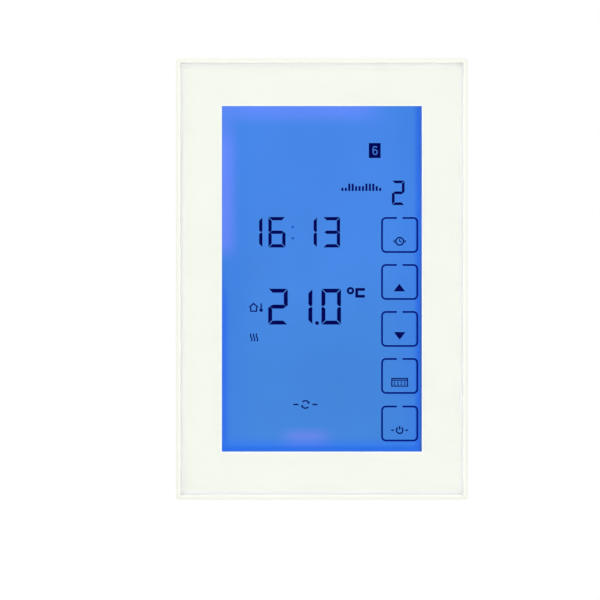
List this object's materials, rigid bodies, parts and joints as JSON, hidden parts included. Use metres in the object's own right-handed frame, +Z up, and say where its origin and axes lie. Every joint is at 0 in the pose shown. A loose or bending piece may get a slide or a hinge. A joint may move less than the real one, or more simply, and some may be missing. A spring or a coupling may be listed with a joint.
{
  "type": "touch screen wall thermostat",
  "caption": "Upright wall thermostat with a glass front, a blue backlit display with touch keys, a pull-off front module and a rear box with screw terminals for a wall box.",
  "frame": {"origin": "middle of the two wall fixing holes, on the wall plane behind the steel wall plate", "axes": "+Z up, +X to the right as seen from the room, +Y into the wall, so the display looks along -Y"},
  "size_m": [0.076, 0.0425, 0.115],
  "materials": {
    "frame_plastic": "satin moulded",
    "cover_glass": "polished, ground edges",
    "border_ink": "screen print behind glass",
    "adhesive_tape": "matt foam tape",
    "touch_film": "clear film",
    "flex_circuit": "amber film",
    "polariser_film": "lit film",
    "lcd_glass": "polished",
    "contact_rubber": "striped",
    "diffuser_film": "matt",
    "light_guide_acrylic": "clear acrylic",
    "reflector_film": "white film",
    "led_package": "moulded",
    "white_plastic": "moulded",
    "circuit_board": "solder resist",
    "chip_black": "moulded",
    "bright_steel": "plated",
    "zinc_steel": "zinc plated",
    "black_plastic": "moulded",
    "cover_plastic": "fine spark texture",
    "housing_plastic": "fine spark texture",
    "terminal_plastic": "moulded",
    "tinned_brass": "tinned",
    "relay_blue": "moulded",
    "copper_winding": "enamelled wire",
    "capacitor_case": "moulded",
    "varistor_coat": "dipped",
    "ferrite": "sintered",
    "aluminium_can": "drawn"
  },
  "bodies": {
    "front_module": {"front_frame": "frame_plastic", "cover_glass": "cover_glass", "border_print": "border_ink", "glass_tape": "adhesive_tape", "touch_film": "touch_film", "touch_tail": "flex_circuit", "front_polariser": "polariser_film", "lcd_front_glass": "lcd_glass", "lcd_rear_glass": "lcd_glass", "rear_polariser": "diffuser_film", "contact_strips": "contact_rubber", "diffuser_sheet": "diffuser_film", "light_guide": "light_guide_acrylic", "reflector_sheet": "reflector_film", "backlight_leds": "led_package", "backlight_frame": "white_plastic", "control_board": "circuit_board", "control_chips": "chip_black", "clock_crystal": "bright_steel", "backup_cell": "bright_steel", "cell_holder": "black_plastic", "buzzer": "black_plastic", "air_sensor": "black_plastic", "header_socket": "black_plastic", "control_small_parts": "chip_black", "module_cover": "cover_plastic", "cover_screws": "zinc_steel"},
    "wall_module": {"mounting_yoke": "zinc_steel", "rear_housing": "housing_plastic", "housing_lid": "housing_plastic", "yoke_screws": "zinc_steel", "power_board": "circuit_board", "header_pins": "tinned_brass", "relay_base": "black_plastic", "relay_bobbin": "white_plastic", "relay_winding": "copper_winding", "relay_frame": "bright_steel", "relay_contacts": "tinned_brass", "relay_cover": "relay_blue", "mains_capacitor": "capacitor_case", "varistor": "varistor_coat", "fuse": "black_plastic", "transformer": "ferrite", "smoothing_capacitors": "aluminium_can", "terminal_block": "terminal_plastic", "terminal_tongues": "tinned_brass"},
    "relay_armature": {"relay_armature": "bright_steel"},
    "clamp_cage_1": {"clamp_cage_1": "zinc_steel"},
    "terminal_screw_1": {"terminal_screw_1": "zinc_steel"},
    "clamp_cage_2": {"clamp_cage_2": "zinc_steel"},
    "terminal_screw_2": {"terminal_screw_2": "zinc_steel"},
    "clamp_cage_3": {"clamp_cage_3": "zinc_steel"},
    "terminal_screw_3": {"terminal_screw_3": "zinc_steel"},
    "clamp_cage_4": {"clamp_cage_4": "zinc_steel"},
    "terminal_screw_4": {"terminal_screw_4": "zinc_steel"},
    "clamp_cage_5": {"clamp_cage_5": "zinc_steel"},
    "terminal_screw_5": {"terminal_screw_5": "zinc_steel"},
    "clamp_cage_6": {"clamp_cage_6": "zinc_steel"},
    "terminal_screw_6": {"terminal_screw_6": "zinc_steel"}
  },
  "joints": [
    {"name": "front_module_pull", "type": "slide", "parent": "wall_module", "child": "front_module", "axis": [0, -1, 0], "range_m": [0, 0.03]},
    {"name": "relay_armature_hinge", "type": "hinge", "parent": "wall_module", "child": "relay_armature", "pos_m": [0.0003, 0.0169, -0.0058], "axis": [0, 0, 1], "range_deg": [0, 4], "stiffness_Nm_per_rad": 0.02, "springref_deg": -5.73},
    {"name": "terminal_screw_1_turn", "type": "hinge", "parent": "wall_module", "child": "terminal_screw_1", "pos_m": [-0.01875, 0.0154, -0.02765], "axis": [0, -1, 0], "range_deg": [0, 2016.5]},
    {"name": "clamp_cage_1_lift", "type": "slide", "parent": "wall_module", "child": "clamp_cage_1", "axis": [0, 1, 0], "range_m": [0, 0.0028]},
    {"name": "terminal_screw_2_turn", "type": "hinge", "parent": "wall_module", "child": "terminal_screw_2", "pos_m": [-0.01125, 0.0154, -0.02765], "axis": [0, -1, 0], "range_deg": [0, 2016.5]},
    {"name": "clamp_cage_2_lift", "type": "slide", "parent": "wall_module", "child": "clamp_cage_2", "axis": [0, 1, 0], "range_m": [0, 0.0028]},
    {"name": "terminal_screw_3_turn", "type": "hinge", "parent": "wall_module", "child": "terminal_screw_3", "pos_m": [-0.00375, 0.0154, -0.02765], "axis": [0, -1, 0], "range_deg": [0, 2016.5]},
    {"name": "clamp_cage_3_lift", "type": "slide", "parent": "wall_module", "child": "clamp_cage_3", "axis": [0, 1, 0], "range_m": [0, 0.0028]},
    {"name": "terminal_screw_4_turn", "type": "hinge", "parent": "wall_module", "child": "terminal_screw_4", "pos_m": [0.00375, 0.0154, -0.02765], "axis": [0, -1, 0], "range_deg": [0, 2016.5]},
    {"name": "clamp_cage_4_lift", "type": "slide", "parent": "wall_module", "child": "clamp_cage_4", "axis": [0, 1, 0], "range_m": [0, 0.0028]},
    {"name": "terminal_screw_5_turn", "type": "hinge", "parent": "wall_module", "child": "terminal_screw_5", "pos_m": [0.01125, 0.0154, -0.02765], "axis": [0, -1, 0], "range_deg": [0, 2016.5]},
    {"name": "clamp_cage_5_lift", "type": "slide", "parent": "wall_module", "child": "clamp_cage_5", "axis": [0, 1, 0], "range_m": [0, 0.0028]},
    {"name": "terminal_screw_6_turn", "type": "hinge", "parent": "wall_module", "child": "terminal_screw_6", "pos_m": [0.01875, 0.0154, -0.02765], "axis": [0, -1, 0], "range_deg": [0, 2016.5]},
    {"name": "clamp_cage_6_lift", "type": "slide", "parent": "wall_module", "child": "clamp_cage_6", "axis": [0, 1, 0], "range_m": [0, 0.0028]}
  ],
  "couplings": [
    {"joint": "terminal_screw_1_turn", "follows": "clamp_cage_1_lift", "rad_per_m": 12566},
    {"joint": "terminal_screw_2_turn", "follows": "clamp_cage_2_lift", "rad_per_m": 12566},
    {"joint": "terminal_screw_3_turn", "follows": "clamp_cage_3_lift", "rad_per_m": 12566},
    {"joint": "terminal_screw_4_turn", "follows": "clamp_cage_4_lift", "rad_per_m": 12566},
    {"joint": "terminal_screw_5_turn", "follows": "clamp_cage_5_lift", "rad_per_m": 12566},
    {"joint": "terminal_screw_6_turn", "follows": "clamp_cage_6_lift", "rad_per_m": 12566}
  ]
}
